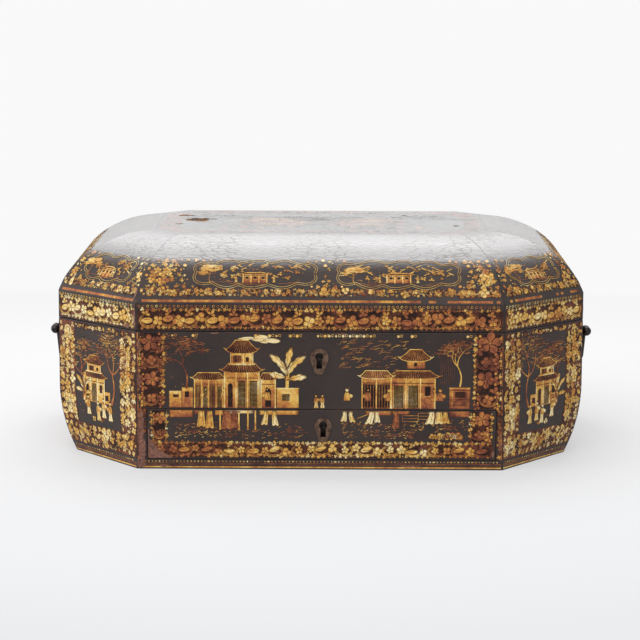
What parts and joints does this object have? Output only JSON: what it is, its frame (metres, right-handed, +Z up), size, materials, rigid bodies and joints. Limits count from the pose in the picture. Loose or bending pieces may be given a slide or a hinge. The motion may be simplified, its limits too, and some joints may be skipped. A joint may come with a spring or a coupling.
{
  "type": "lacquered sewing box",
  "caption": "Eight-sided lacquered wooden sewing box: coved hinged lid, fitted tray with covers, drawer under the front, locks and a swinging bail on each end.",
  "frame": {"origin": "middle of the base board's underside", "axes": "+X to the right along the box's length, +Z up, the front with the keyholes faces -Y"},
  "size_m": [0.3776, 0.2665, 0.151],
  "materials": {
    "lacquered_wood": "gloss lacquer",
    "inner_wood": "satin",
    "dark_metal": "patinated",
    "old_brass": "aged",
    "turned_bone": "satin"
  },
  "bodies": {
    "case": {"base_board": "lacquered_wood", "front_wall": "lacquered_wood", "back_wall": "lacquered_wood", "left_end_wall": "lacquered_wood", "right_end_wall": "lacquered_wood", "front_left_corner_wall": "lacquered_wood", "front_right_corner_wall": "lacquered_wood", "back_left_corner_wall": "lacquered_wood", "back_right_corner_wall": "lacquered_wood", "shelf_board": "inner_wood", "left_drawer_guide": "inner_wood", "right_drawer_guide": "inner_wood", "front_tray_ledge": "inner_wood", "back_tray_ledge": "inner_wood", "case_keyhole_plate": "dark_metal", "left_handle_posts": "dark_metal", "right_handle_posts": "dark_metal", "handle_nuts": "dark_metal", "lid_lock_case": "old_brass", "lid_lock_screws": "old_brass", "case_hinge_leaves": "old_brass", "case_hinge_screws": "old_brass", "hinge_pins": "old_brass"},
    "lid": {"lid_top": "lacquered_wood", "lid_front_side": "lacquered_wood", "lid_front_right_side": "lacquered_wood", "lid_right_side": "lacquered_wood", "lid_back_right_side": "lacquered_wood", "lid_back_side": "lacquered_wood", "lid_back_left_side": "lacquered_wood", "lid_left_side": "lacquered_wood", "lid_front_left_side": "lacquered_wood", "lid_hinge_leaves": "old_brass", "lid_hinge_screws": "old_brass", "lid_link_plate": "old_brass", "link_plate_screws": "old_brass"},
    "drawer": {"drawer_front": "lacquered_wood", "drawer_left_side": "inner_wood", "drawer_right_side": "inner_wood", "drawer_back": "inner_wood", "drawer_bottom": "inner_wood", "drawer_long_divider": "inner_wood", "drawer_cross_dividers": "inner_wood", "drawer_keyhole_plate": "dark_metal", "drawer_lock_case": "old_brass", "drawer_lock_screws": "old_brass"},
    "lid_bolt": {"lid_lock_bolt": "old_brass"},
    "drawer_bolt": {"drawer_lock_bolt": "old_brass"},
    "left_handle": {"left_bail": "dark_metal"},
    "right_handle": {"right_bail": "dark_metal"},
    "tray": {"tray_rim": "inner_wood", "tray_bottom": "inner_wood", "tray_cross_dividers": "inner_wood", "tray_centre_divider": "inner_wood"},
    "left_cover": {"left_tray_cover": "inner_wood", "left_cover_knob": "turned_bone"},
    "right_cover": {"right_tray_cover": "inner_wood", "right_cover_knob": "turned_bone"}
  },
  "joints": [
    {"name": "lid_hinge", "type": "hinge", "parent": "case", "child": "lid", "pos_m": [0, 0.1328, 0.09325], "axis": [-1, 0, 0], "range_deg": [0, 100]},
    {"name": "drawer_slide", "type": "slide", "parent": "case", "child": "drawer", "axis": [0, -1, 0], "range_m": [0, 0.18]},
    {"name": "tray_lift", "type": "slide", "parent": "case", "child": "tray", "axis": [0, 0, 1], "range_m": [0, 0.016]},
    {"name": "left_cover_lift", "type": "slide", "parent": "tray", "child": "left_cover", "axis": [0, 0, 1], "range_m": [0, 0.01]},
    {"name": "right_cover_lift", "type": "slide", "parent": "tray", "child": "right_cover", "axis": [0, 0, 1], "range_m": [0, 0.01]},
    {"name": "lid_bolt_slide", "type": "slide", "parent": "case", "child": "lid_bolt", "axis": [1, 0, 0], "range_m": [0, 0.005]},
    {"name": "drawer_bolt_slide", "type": "slide", "parent": "drawer", "child": "drawer_bolt", "axis": [0, 0, 1], "range_m": [0, 0.004]},
    {"name": "left_bail_swing", "type": "hinge", "parent": "case", "child": "left_handle", "pos_m": [-0.1855, 0, 0.0806], "axis": [0, 1, 0], "range_deg": [-9, 110]},
    {"name": "right_bail_swing", "type": "hinge", "parent": "case", "child": "right_handle", "pos_m": [0.1855, 0, 0.0806], "axis": [0, -1, 0], "range_deg": [-9, 110]}
  ]
}
